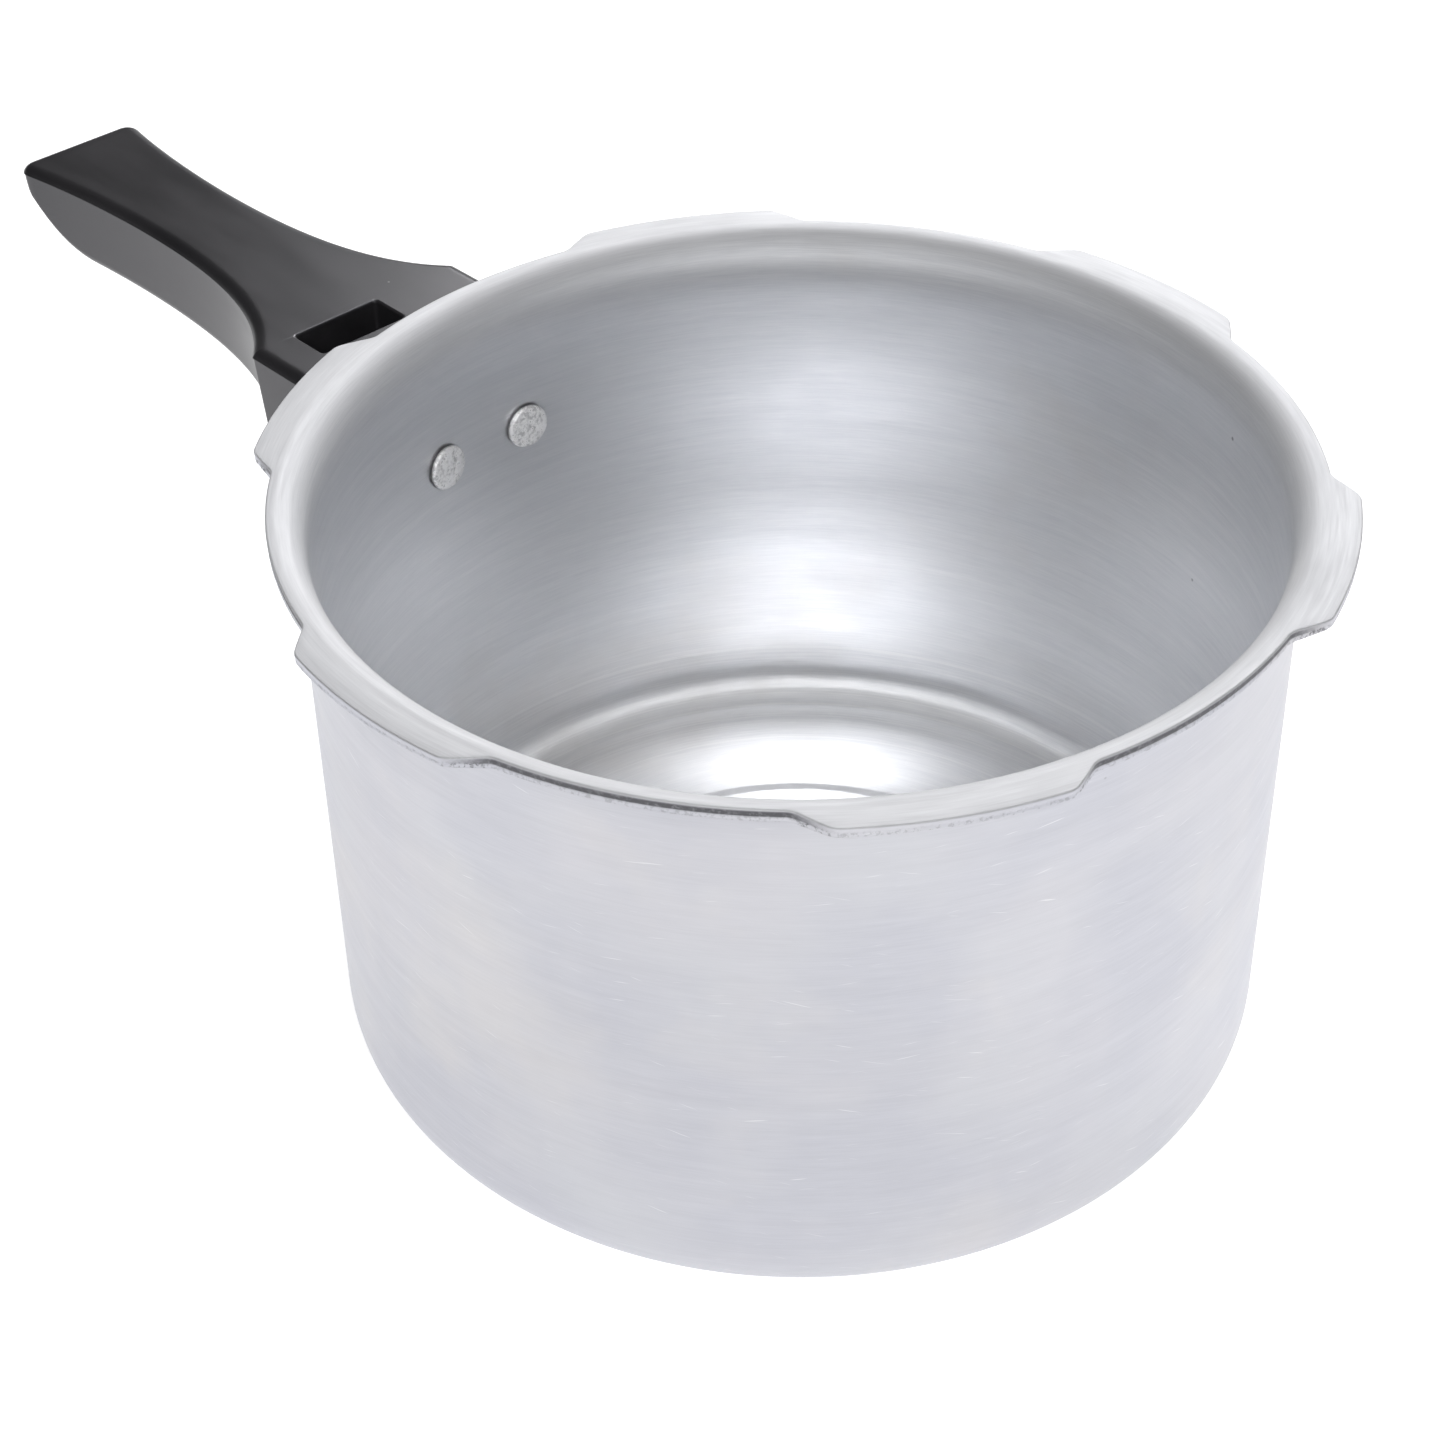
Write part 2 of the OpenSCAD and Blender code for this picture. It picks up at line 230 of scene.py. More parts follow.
def rim(share):
    """The flange's edge where it reaches that share of the way out to the lugs, from below to above:
    (radius, height, burnish, roughness of the cut)."""
    edge = lerp(GAP_R, LUG_R, share)
    thick = lerp(FLANGE_T, LUG_EDGE_T, (edge - FLARE_X) / (LUG_R - FLARE_X))
    gap, end = 1 - share, 4 * share * (1 - share)
    under = [(0.45, 1, 0, 0), (0.18, 0.965, 0, 0.5)]
    torn = [(0.05, 0.9, 0, 1), (0.02, 0.8, 0, 1), (0.06, 0.7, 0, 1), (0.12, 0.6, 0.2, 1)]
    smooth = [(0.1, 0.52, 1, 0.6), (0.04, 0.45, 1, 0.3), (0.02, 0.32, 1, 0.1), (0, 0.2, 1, 0)]
    above = [(0.03, 0.1, 0.5, 0), (0.12, 0.04, 0.1, 0), (0.26, 0.01, 0, 0), (0.42, 0, 0, 0)]
    return [(edge - short, PAN_H - deep * thick, gap * dark, (0.35 + 0.65 * end) * rough)
            for short, deep, dark, rough in under + torn + smooth + above]


def pan_rows(below, inside):
    """The pan's points, section by section, with how burnished and how torn the metal is at each."""
    points, burnish, torn = [], [], []
    for angle in pan_angles():
        share = lug_share(angle)
        lip = rim(share)
        half_way = [(lerp(FLARE_X, lip[0][0], 0.5), lerp(below[-1][1], lip[0][1], 0.5), 0, 0)]
        back = [(lerp(lip[-1][0], FLARE_X, 0.5), PAN_H, 0, 0)]
        row = [(r, z, 0, 0) for r, z in below[1:]] + half_way + lip + back
        row += [(r, z, 0, 0) for r, z in inside[:-1]]
        for r, z, dark, rough in row:
            place = (*polar(r, angle), z)
            r += TEAR_DEPTH * rough * (grain(place, 0.9) + grain(place, 0.35, 5) - 1)
            points.append((*polar(r, angle), z))
            burnish.append(dark)
            torn.append(rough)
    return points, burnish, torn


def build_pan():
    below, inside = pan_profile()
    points, burnish, torn = pan_rows(below, inside)
    sections = len(pan_angles())
    count = len(points) // sections
    rows = [range(i * count, (i + 1) * count) for i in range(sections)]
    faces = []
    for one, other in zip(rows, rows[1:] + rows[:1]):
        faces += [(one[j], other[j], other[j + 1], one[j + 1]) for j in range(count - 1)]
    bottom, middle = len(points), len(points) + 1
    points += [(0, 0, below[0][1]), (0, 0, inside[-1][1])]
    for one, other in zip(rows, rows[1:] + rows[:1]):
        faces.append((bottom, other[0], one[0]))
        faces.append((middle, one[-1], other[-1]))
    pan = new_mesh("pan", points, faces)
    satin = {"dull": (0.555, 0.56, 0.605), "bright": (0.605, 0.61, 0.655), "inner": False}
    brushed = {"dull": (0.81, 0.82, 0.845), "bright": (0.92, 0.925, 0.94), "inner": True}
    pan.data.materials.append(turned_aluminium("satin_aluminium", 0.47, 0.3, 0.12, **satin))
    pan.data.materials.append(turned_aluminium("brushed_aluminium", 0.34, 0.86, 0.25, **brushed))
    # The inside's finish starts where the flange's edge turns over into its flat top, at its last points
    turnover = 4
    top = len(below) + len(rim(0)) - turnover
    for face in pan.data.polygons:
        face.material_index = min(face.vertices) % count >= top
    for name, values in (("burnish", burnish), ("torn", torn)):
        attribute = pan.data.attributes.new(name, "FLOAT", "POINT")
        attribute.data.foreach_set("value", values + [0, 0])
    stands_for(pan, "pan_aluminium", "pot_shell")
    return pan


# ------------------------------------------------------------------ the rivets
def rivet_section(rim_h):
    """From the middle of the head, over its rim, height rim_h, and along the shank to the closed end."""
    head_r, head_h, edge_r, dome_r = 5.2, 2.2, 0.55, 4.2
    shank_r, tail_r, tail_h, tail_rim, seat = 3, 4.5, 2.4, 0.5, 0.3
    flat_r, shoulder = head_r - edge_r, rim_h + edge_r
    section = [(dome_r * t, lerp(head_h, shoulder, (dome_r * t / flat_r) ** 2)) for t in steps(12)]
    section.append((flat_r, shoulder))
    for a in (70, 45, 20, 0):
        out, up = polar(edge_r, a)
        section.append((flat_r + out, rim_h + up))
    section += [(head_r, 0.6), (head_r - 0.12, 0.32), (head_r - 0.4, 0.2), (head_r - 0.55, -seat)]
    foot = -WALL_T - BRACKET_T
    section += [(shank_r, -seat), (shank_r, foot), (tail_r, foot), (tail_r * 0.97, foot - tail_rim)]
    for a in (25, 45, 65, 80):
        out, down = math.cos(math.radians(a)), math.sin(math.radians(a))
        section.append((tail_r * out, foot - tail_rim - (tail_h - tail_rim) * down))
    return section + [(0, foot - tail_h)]


def build_rivet(name, side):
    """Rivet with a low domed head inside the pan, hammered and worn, and a closed end on the bracket."""
    rim_h = 1.2
    points, faces = lathe(rivet_section(rim_h), 96)
    turn = Matrix.Rotation(math.radians(RIVET_MID_ANGLE + side * RIVET_ANGLE), 4, "Z")
    place = turn @ Matrix.Translation((INNER_R, 0, RIVET_Z)) @ Matrix.Rotation(math.radians(-90), 4, "Y")
    moved = []
    for p in points:
        x, y, z = p
        if z > 0.2:
            dents = 0.16 * grain(p, 2.6, side * 9) + 0.09 * grain(p, 1.1, 4 + side)
            dents += 0.04 * grain(p, 0.5, 7)
            rim_share = min(1, z / rim_h)
            z += dents * rim_share
            x *= 1 + 0.03 * grain(p, 3, 2 + side) * rim_share
        moved.append(place @ Vector((x, y, z)))
    rivet = new_mesh(name, moved, faces)
    stands_for(rivet, "rivet_aluminium", name)
    return rivet


# ------------------------------------------------------------------ the handle
def handle_side():
    """Half of the handle's outline seen from above, from the pan to the tip."""
    head = (HEAD_X, HEAD_HALF_W)
    pulled = (HEAD_X + HEAD_PULL[0], HEAD_HALF_W + HEAD_PULL[1])
    flank = (head, pulled, (WAIST[0] - 33, WAIST[1]), WAIST)
    side = [(lerp(HANDLE_START_X, HEAD_X - 3, t), HEAD_HALF_W) for t in steps(8)]
    start, end = (HEAD_X - CORNER_CUT, HEAD_HALF_W), bezier(flank, 0.02)
    side += [bezier((start, head, head, end), t) for t in steps(6)]
    side += [bezier(flank, t) for t in steps(22)[2:]]
    corner_x = TIP_X - TIP_CORNER_R
    grip = (WAIST, (WAIST[0] + 18, WAIST[1]), (TIP_X - 17, TIP_HALF_W - 2.4), (corner_x, TIP_HALF_W))
    side += [bezier(grip, t) for t in steps(20)[1:]]
    centre = (corner_x, TIP_HALF_W - TIP_CORNER_R)
    for a in (75, 60, 45, 30, 15, 0):
        x, y = polar(TIP_CORNER_R, a)
        side.append((centre[0] + x, centre[1] + y))
    return side


def outward(side):
    """Directions in which a ring of the handle is inset, one for each point of the outline. At a corner
    the direction is longer, so that both its neighbours stay parallel to themselves, and the head's
    corner keeps its rounding."""
    normals = []
    for i, point in enumerate(side):
        before = side[i - 1] if i else (point[0] - 1, point[1])
        after = side[i + 1] if i + 1 < len(side) else (point[0], point[1] - 1)
        a = Vector((before[1] - point[1], point[0] - before[0])).normalized()
        b = Vector((point[1] - after[1], after[0] - point[0])).normalized()
        normals.append((a + b) / (1 + a.dot(b)))
    square, slanted = Vector((0, 1)), Vector((-HEAD_PULL[1], HEAD_PULL[0])).normalized()
    mitre = (square + slanted) / (1 + square.dot(slanted))
    return [mitre if abs(p[0] - HEAD_X) <= CORNER_CUT + 0.1 else n for p, n in zip(side, normals)]


def underside(x):
    """Height of the handle's underside at x."""
    if x <= TIP_RISE_X:
        return lerp(HEAD_UNDER, TIP_UNDER, (x - HANDLE_START_X) / (TIP_RISE_X - HANDLE_START_X))
    face = HANDLE_TOP - TIP_EDGE_H
    curve = ((TIP_RISE_X, TIP_UNDER), (TIP_RISE_X + 12.5, TIP_UNDER + 0.4),
             (TIP_X - 4.6, face - 10), (TIP_X, face))
    low, high = 0, 1
    for _ in range(30):
        t = (low + high) / 2
        low, high = (t, high) if bezier(curve, t)[0] < x else (low, t)
    return bezier(curve, low)[1]


def handle_rings():
    """Rings of the handle's skin from its flat top down to its underside."""
    # The top edge is an arc that stops short of the vertical, and a lip and a ledge mark the parting line
    edge_r, edge_turn, lip, ledge, ledge_h, under_r = 3.4, 65, 0.12, 0.2, 0.08, 3
    # Width of the flat border round the top face and round the underside
    top_border, under_border = 0.8, 0.6
    draft = math.tan(math.radians(4))
    edge_w = edge_r * math.sin(math.radians(edge_turn))
    edge_h = edge_r * (1 - math.cos(math.radians(edge_turn)))
    side = handle_side()
    normals = outward(side)
    arcs = [math.radians(a) for a in (15, 30, 45, 60, 75, 90)]
    edge_arcs = [math.radians(edge_turn * t) for t in steps(8)]

    def column(point, normal):
        tall = HANDLE_TOP - underside(point[0])
        start = edge_h + lip + ledge_h
        round_r = min(under_r, (tall - start) / 2)
        levels = [(edge_w + top_border, 0)]
        levels += [(edge_w - edge_r * math.sin(a), edge_r * (1 - math.cos(a))) for a in edge_arcs]
        levels += [(0, edge_h + lip), (ledge, start)]
        depths = [lerp(start, tall - round_r, t) for t in (0.08, 0.36, 0.68, 1)]
        levels += [(ledge + draft * (depth - start), depth) for depth in depths]
        wide = levels[-1][0]
        made = [(point[0] - normal[0] * inset, point[1] - normal[1] * inset, HANDLE_TOP - depth)
                for inset, depth in levels]
        for a in arcs:
            inset = wide + round_r * (1 - math.cos(a))
            x, y = point[0] - normal[0] * inset, point[1] - normal[1] * inset
            made.append((x, y, underside(x) + round_r * (1 - math.sin(a))))
        inset = wide + round_r + under_border
        x, y = point[0] - normal[0] * inset, point[1] - normal[1] * inset
        made.append((x, y, underside(x)))
        return made

    columns = [column(p, n) for p, n in zip(side, normals)]
    return [[c[level] for c in columns] for level in range(len(columns[0]))]


def handle_body():
    """Closed skin of the handle before anything is cut into it."""
    halves = handle_rings()
    rings = [half + [(x, -y, z) for x, y, z in reversed(half)] for half in halves]
    n = len(rings[0])
    half = n // 2
    points = [p for ring in rings for p in ring]
    faces = skin(rings, True)
    for start, flip in ((0, False), ((len(rings) - 1) * n, True)):
        for i in range(half - 1):
            face = (start + i, start + i + 1, start + n - 2 - i, start + n - 1 - i)
            faces.append(face if not flip else face[::-1])
    return new_mesh("handle", points, [f[::-1] for f in faces])


def stack(outline, levels):
    """Cutter that has the outline at each level. A level is its height and how far it stands out there."""
    rings = []
    middle = Vector((sum(p[0] for p in outline), sum(p[1] for p in outline))) / len(outline)
    for z, out in levels:
        ring = []
        for p in outline:
            away = Vector(p) - middle
            ring.append((p[0] + math.copysign(out, away.x), p[1] + math.copysign(out, away.y), z))
        rings.append(ring)
    n = len(outline)
    points = [p for ring in rings for p in ring]
    faces = skin(rings, True)
    faces += [tuple(reversed(range(n))), tuple(range((len(rings) - 1) * n, len(rings) * n))]
    return new_mesh("cutter", points, faces)


def prism(outline, low, high):
    return stack(outline, [(low, 0), (high, 0)])


def rectangle(x0, x1, y0, y1, r=0.0):
    """Outline of a rectangle with rounded corners."""
    if not r:
        return [(x0, y0), (x1, y0), (x1, y1), (x0, y1)]
    outline = []
    centres = ((x1 - r, y0 + r), (x1 - r, y1 - r), (x0 + r, y1 - r), (x0 + r, y0 + r))
    for quarter, (x, y) in enumerate(centres):
        for t in steps(6):
            dx, dy = polar(r, 90 * (quarter - 1 + t))
            outline.append((x + dx, y + dy))
    return outline


def circle(x, y, r, count):
    spokes = [polar(r, 360 * k / count) for k in range(count)]
    return [(x + dx, y + dy) for dx, dy in spokes]


def cut(piece, cutters):
    """Takes the cutters out of the piece for good."""
    for cutter in cutters:
        modifier = piece.modifiers.new("cut", "BOOLEAN")
        modifier.operation = "DIFFERENCE"
        modifier.solver = "EXACT"
        modifier.object = cutter
    bake_modifiers(piece)
    for cutter in cutters:
        bpy.data.objects.remove(cutter)


def bake_modifiers(piece):
    """Applies the piece's modifiers to its mesh."""
    graph = bpy.context.evaluated_depsgraph_get()
    mesh = bpy.data.meshes.new_from_object(piece.evaluated_get(graph))
    piece.modifiers.clear()
    piece.data = mesh


def slot_cutter(floor_z):
    """Slot for the lid's catch, with a small rounded lip all round its mouth."""
    end_x, length, width, mid_y, corner_r = 150, 11.2, 24, 7, 1.1
    mouth = ((0.7, 0), (0.4, 0.08), (0.15, 0.27), (0, 0.6), (-0.5, 1.6))
    outline = rectangle(end_x - length, end_x, mid_y - width / 2, mid_y + width / 2, corner_r)
    return stack(outline, [(floor_z, 0)] + [(HANDLE_TOP - depth, out) for depth, out in mouth])


def bracket_cutters(below):
    """Room for the bracket's channel and ears, and the wells and holes of its two screws."""
    channel_half, channel_z, channel_h, channel_end = 6 + FIT_GAP, 96, 6.5 + FIT_GAP, 176 + FIT_GAP
    ear_z, ear_h, ear_half_w, room_r = 90, 18, 22.93, WALL_R + BRACKET_T + 3.6
    screw_xs, well_r, well_z, hole_r, hole_z = (132, 162), 5.3, 93.2, 2.75, 93
    channel = rectangle(HANDLE_START_X, channel_end, BRACKET_Y - channel_half, BRACKET_Y + channel_half)
    cutters = [prism(channel, channel_z, channel_z + channel_h)]
    reach = math.degrees(math.asin(ear_half_w / room_r))
    room = [polar(room_r, RIVET_MID_ANGLE + lerp(-reach, reach, t)) for t in steps(24)]
    room += [(HANDLE_START_X, room[-1][1]), (HANDLE_START_X, room[0][1])]
    cutters.append(prism(room, ear_z, ear_z + ear_h))
    for x in screw_xs:
        cutters.append(prism(circle(x, BRACKET_Y, well_r, 64), below, well_z))
        cutters.append(prism(circle(x, BRACKET_Y, hole_r, 48), hole_z, channel_z + 1))
    return cutters


def bay_cutters(below, slot_floor):
    """Hollows under the handle: four bays between ribs in the grip, and one on each side of the screws."""
    wall_t, top_t, rib_t, bays, start_x, end_x = 4, 4.5, 2.4, 4, 179, TIP_X - 18
    boss_half_w, roof_t, head_bay_x, corner_r, margin = 9, 3.5, 114, 1.2, 0.6
    cutters = []
    pitch = (end_x - start_x) / bays
    side = [p for p in handle_side() if p[0] > HEAD_X + 3]
    insets = [(p[0] - n[0] * wall_t, p[1] - n[1] * wall_t) for p, n in zip(side, outward(side))]
    for bay in range(bays):
        x0 = start_x + bay * pitch
        x1 = x0 + pitch - rib_t
        edge = [p for p in insets if x0 + margin < p[0] < x1 - margin]
        edge = [(x0, edge[0][1]), *edge, (x1, edge[-1][1])]
        outline = edge[::-1] + [(x, -y) for x, y in edge]
        cutters.append(prism(outline, below, HANDLE_TOP - top_t))
    wall_y = HEAD_HALF_W - wall_t
    for y0, y1 in ((-wall_y, BRACKET_Y - boss_half_w), (BRACKET_Y + boss_half_w, wall_y)):
        outline = rectangle(head_bay_x, HEAD_X - wall_t, y0, y1, corner_r)
        cutters.append(prism(outline, below, slot_floor - roof_t))
    return cutters


def build_handle():
    handle = handle_body()
    slot_depth = 8
    below, slot_floor = HEAD_UNDER - 1, HANDLE_TOP - slot_depth
    pan_side = prism(circle(0, 0, WALL_R + FIT_GAP, 720), below, PAN_H)
    channel, *rest = bracket_cutters(below)
    cut(handle, [pan_side, channel, slot_cutter(slot_floor), *rest, *bay_cutters(below, slot_floor)])
    handle.data.set_sharp_from_angle(angle=math.radians(20))
    weighted = handle.modifiers.new("weighted", "WEIGHTED_NORMAL")
    weighted.keep_sharp = True
    stands_for(handle, "handle_bakelite", "handle")
    return handle


# ------------------------------------------------------------------ materials
class Shader:
    """A material's node tree, with short calls for adding and linking nodes."""

    def __init__(self, name):
        self.material = bpy.data.materials.new(name)
        self.material.use_nodes = True
        self.tree = self.material.node_tree
        self.surface = self.tree.nodes["Principled BSDF"]

    def add(self, kind, inputs=None, **settings):
        node = self.tree.nodes.new("ShaderNode" + kind)
        for key, value in settings.items():
            setattr(node, key, value)
        for key, value in (inputs or {}).items():
            self.put(node.inputs[key], value)
        return node

    def put(self, socket, value):
        if isinstance(value, bpy.types.NodeSocket):
            self.tree.links.new(value, socket)
        else:
            socket.default_value = value

    def calc(self, operation, *values):
        node = self.add("Math", dict(enumerate(values)), operation=operation)
        return node.outputs[0]

    def total(self, first, *others):
        for other in others:
            first = self.calc("ADD", first, other)
        return first

    def times(self, first, *others):
        for other in others:
            first = self.calc("MULTIPLY", first, other)
        return first

    def length(self, x, y):
        return self.calc("SQRT", self.total(self.times(x, x), self.times(y, y)))

    def spread(self, value, low, high, to_low=0.0, to_high=1.0):
        """Maps the range from low to high onto another one, and clamps it."""
        inputs = {"Value": value, "From Min": low, "From Max": high, "To Min": to_low, "To Max": to_high}
        return self.add("MapRange", inputs).outputs["Result"]

    def noise(self, vector, scale, detail=2.0, roughness=0.5):
        inputs = {"Vector": vector, "Scale": scale, "Detail": detail, "Roughness": roughness}
        return self.add("TexNoise", inputs).outputs["Fac"]

    def blend(self, share, one, other):
        node = self.add("Mix", data_type="RGBA")
        self.put(node.inputs["Factor"], share)
        self.put(node.inputs["A"], (*one, 1) if isinstance(one, tuple) else one)
        self.put(node.inputs["B"], (*other, 1) if isinstance(other, tuple) else other)
        return node.outputs["Result"]

    def bump(self, height, strength, distance):
        inputs = {"Height": height, "Strength": strength, "Distance": distance * MM}
        return self.add("Bump", inputs).outputs["Normal"]

    def millimetres(self):
        """Place on the object in millimetres."""
        place = self.add("TexCoord").outputs["Object"]
        return self.add("VectorMath", {0: place, "Scale": 1 / MM}, operation="SCALE").outputs[0]

    def stretched(self, vector, scale):
        """The vector with each of its parts scaled by its own amount."""
        return self.add("VectorMath", {0: vector, 1: scale}, operation="MULTIPLY").outputs[0]

    def vector(self, x, y, z):
        return self.add("CombineXYZ", {"X": x, "Y": y, "Z": z}).outputs[0]

    def finish(self, **inputs):
        for key, value in inputs.items():
            self.put(self.surface.inputs[key.replace("_", " ")], value)
        return self.material


class PanPlace:
    """Where a point of the pan lies, in millimetres: as x, y and z, out from the axis, along its section
    (up the walls and out over the floor and the flange) and round the pan."""

    def __init__(self, s):
        self.s = s
        self.point = s.millimetres()
        self.x, self.y, self.z = s.add("SeparateXYZ", {0: self.point}).outputs
        self.radius = s.calc("MAXIMUM", s.length(self.x, self.y), 0.5)
        self.section = s.calc("ADD", self.radius, self.z)
        turn = s.calc("ARCTAN2", s.times(self.y, -1), s.times(self.x, -1))
        self.round = s.times(turn, WALL_R)

    def lines(self, length, width, detail=2.0, roughness=0.55):
        """Noise drawn out round the pan: length and width are in millimetres at the wall."""
        s = self.s
        turn = WALL_R / length
        across = s.times(s.calc("DIVIDE", self.x, self.radius), turn)
        along = s.times(s.calc("DIVIDE", self.y, self.radius), turn)
        vector = s.vector(across, along, s.times(self.section, 1 / width))
        return s.noise(vector, 1.0, detail, roughness)


def scratch_marks(s, place):
    """Short scratches: noise drawn out along two slanted directions, and only its peaks."""
    length, width = 11, 0.5
    marks = []
    for slope, seed in ((0.12, 3.0), (-0.3, 40.0)):
        run = s.total(place.round, s.times(place.section, slope))
        rise = s.calc("SUBTRACT", place.section, s.times(place.round, slope))
        vector = s.vector(s.times(run, 1 / length), s.times(rise, 1 / width), seed)
        marks.append(s.spread(s.noise(vector, 1.0, 1), 0.73, 0.8))
    return s.calc("MAXIMUM", *marks)


def pit_marks(s, place):
    """A pit in every tenth cell of a coarse pattern."""
    cells = s.add("TexVoronoi", {"Vector": place.point, "Scale": 0.1}).outputs
    chosen = s.calc("GREATER_THAN", s.add("SeparateColor", {0: cells["Color"]}).outputs[0], 0.9)
    return s.times(chosen, s.spread(cells["Distance"], 0.03, 0.055, 1.0, 0.0))


def at_corner(s, place, radii, heights):
    """1 where the floor meets the wall. It rises from 0 over the radii and falls back over the heights."""
    return s.times(s.spread(place.radius, *radii), s.spread(place.z, *heights, 1.0, 0.0))


def turning_marks(s, place):
    """Pale rings where the floor meets the wall."""
    rings = s.noise(s.vector(0, 0, s.times(place.section, 0.9)), 1.0, 3, 0.7)
    return s.times(s.spread(rings, 0.5, 0.66), at_corner(s, place, (72, 84), (16, 34)))


def turned_aluminium(name, roughness, anisotropy, relief, dull, bright, inner):
    """Spun and brushed aluminium: fine lines run round the pan, with smudges, short scratches and pits.
    The flange's cut edge is burnished dark in the gaps and torn at the ends of the lugs. The inner side
    is greyer and rougher from the flare up, with the change spread over the top of the wall, and has
    turning marks round its floor. The outer side is mottled with faint warm and cool patches."""
    s = Shader(name)
    place = PanPlace(s)
    fine = place.lines(9, 0.35, 3)
    broad = place.lines(40, 1.6)
    bands = place.lines(260, 5)
    cloud = s.noise(place.point, 0.028, 3)
    stain = s.spread(s.noise(place.point, 0.016, 4, 0.6), 0.56, 0.72)
    scratches = scratch_marks(s, place)
    pits = pit_marks(s, place)

    tone = s.total(s.times(fine, 0.5), s.times(broad, 0.3), s.times(bands, 0.2))
    shade = s.spread(tone, 0.3, 0.7)
    metal = s.blend(shade, dull, bright)
    if not inner:
        patches = s.spread(s.noise(place.point, 0.022, 3), 0.4, 0.6, 0.0, 0.35)
        metal = s.blend(patches, metal, s.blend(cloud, (0.74, 0.70, 0.715), (0.66, 0.69, 0.70)))
    metal = s.blend(s.times(stain, 0.3), metal, (0.80, 0.77, 0.74))
    metal = s.blend(s.times(scratches, 0.45), metal, (0.95, 0.95, 0.96))
    if inner:
        marks = turning_marks(s, place)
        metal = s.blend(s.times(marks, 0.7), metal, (1.0, 1.0, 1.0))
    metal = s.blend(s.times(pits, 0.7), metal, (0.25, 0.25, 0.26))

    # The cut edge
    burnish = s.add("Attribute", attribute_name="burnish").outputs["Fac"]
    torn = s.add("Attribute", attribute_name="torn").outputs["Fac"]
    flecks = s.noise(place.point, 1.1, 4, 0.65)
    metal = s.blend(s.times(burnish, s.spread(flecks, 0.3, 0.5, 0.75, 1.0)), metal, (0.13, 0.13, 0.14))
    rips = s.times(torn, s.spread(flecks, 0.5, 0.6))
    metal = s.blend(s.times(rips, 0.8), metal, (0.12, 0.12, 0.13))

    gloss = s.spread(tone, 0.3, 0.7, roughness + 0.05, roughness - 0.05)
    gloss = s.total(gloss, s.times(stain, 0.06), s.times(s.total(burnish, torn), 0.1))
    height = s.total(s.times(fine, 0.6), s.times(broad, 0.2), s.times(pits, -1.5))
    height = s.total(height, s.times(torn, flecks, 6), s.times(cloud, 1.2))
    if inner:
        flange_roughness, corner_roughness = 0.78, 0.16
        matt_from, grey_from = 17, 5
        grey = s.blend(shade, (0.64, 0.643, 0.66), (0.70, 0.703, 0.72))
        metal = s.blend(s.spread(place.z, PAN_H - grey_from, PAN_H - 0.5), metal, grey)
        mouth = s.spread(place.z, PAN_H - matt_from, PAN_H - FLANGE_T)
        corner = s.times(at_corner(s, place, (74, 88), (10, 26)), corner_roughness)
        gloss = s.total(gloss, s.times(mouth, flange_roughness - roughness), corner)
        height = s.total(height, s.times(marks, 2.5))
        s.put(s.surface.inputs["Anisotropic"], s.times(s.calc("SUBTRACT", 1, mouth), anisotropy))
    else:
        s.surface.inputs["Anisotropic"].default_value = anisotropy
    tangent = s.add("Tangent", direction_type="RADIAL", axis="Z").outputs[0]
    s.surface.inputs["Metallic"].default_value = 1
    return s.finish(Base_Color=metal, Roughness=gloss, Normal=s.bump(height, relief, 0.03), Tangent=tangent)


def hammered_aluminium():
    """The rivets' metal, mottled and smeared by the tool that closed them. Shade is painted in next to the
    wall, where the head's rim meets it.
    """
    s = Shader("hammered_aluminium")
    place = s.millimetres()
    x, y, _ = s.add("SeparateXYZ", {0: place}).outputs
    # Painted shade: 1 at the rim of the head next to the wall, where shade falls
    painted_shade_at_wall = s.spread(s.length(x, y), INNER_R - 1.1, INNER_R - 0.4)
    mottle = s.noise(place, 0.9, 4, 0.65)
    smear = s.noise(s.stretched(place, (0.5, 0.5, 0.14)), 1.0, 3)
    metal = s.blend(s.spread(mottle, 0.38, 0.56), (0.6, 0.6, 0.61), (0.99, 0.99, 0.99))
    metal = s.blend(s.spread(smear, 0.5, 0.6, 0.0, 0.8), metal, (0.97, 0.97, 0.98))
    # Painted shade: the head is darkened where it meets the pan's wall
    metal = s.blend(s.times(painted_shade_at_wall, 0.9), metal, (0.06, 0.06, 0.062))
    height = s.total(mottle, s.times(smear, 0.6))
    s.surface.inputs["Metallic"].default_value = 0.3
    return s.finish(Base_Color=metal, Roughness=s.spread(mottle, 0.35, 0.65, 0.5, 0.25),
                    Normal=s.bump(height, 0.6, 0.2))


def bakelite():
    """Black phenolic moulding: satin gloss, a faint ripple, flow marks and a few pale specks."""
    s = Shader("bakelite")
    place = s.millimetres()
    ripple = s.noise(place, 0.09, 2)
    peel = s.noise(place, 1.3, 2)
    flow = s.noise(s.stretched(place, (0.02, 0.09, 0.09)), 1.0, 3)
    cells = s.add("TexVoronoi", {"Vector": place, "Scale": 0.045}).outputs["Distance"]
    specks = s.spread(cells, 0.012, 0.02, 1.0, 0.0)
    colour = s.blend(s.spread(flow, 0.35, 0.65), (0.017, 0.0165, 0.018), (0.026, 0.025, 0.027))
    colour = s.blend(s.times(specks, 0.6), colour, (0.35, 0.35, 0.36))
    height = s.total(s.times(ripple, 0.5), s.times(peel, 0.03))
    s.surface.inputs["IOR"].default_value = 1.55
    s.surface.inputs["Specular Tint"].default_value = (0.93, 0.92, 1, 1)
    roughness = s.total(s.spread(flow, 0.3, 0.7, 0.3, 0.36), s.times(specks, 0.3))
    return s.finish(Base_Color=colour, Roughness=roughness, Normal=s.bump(height, 0.35, 0.1))


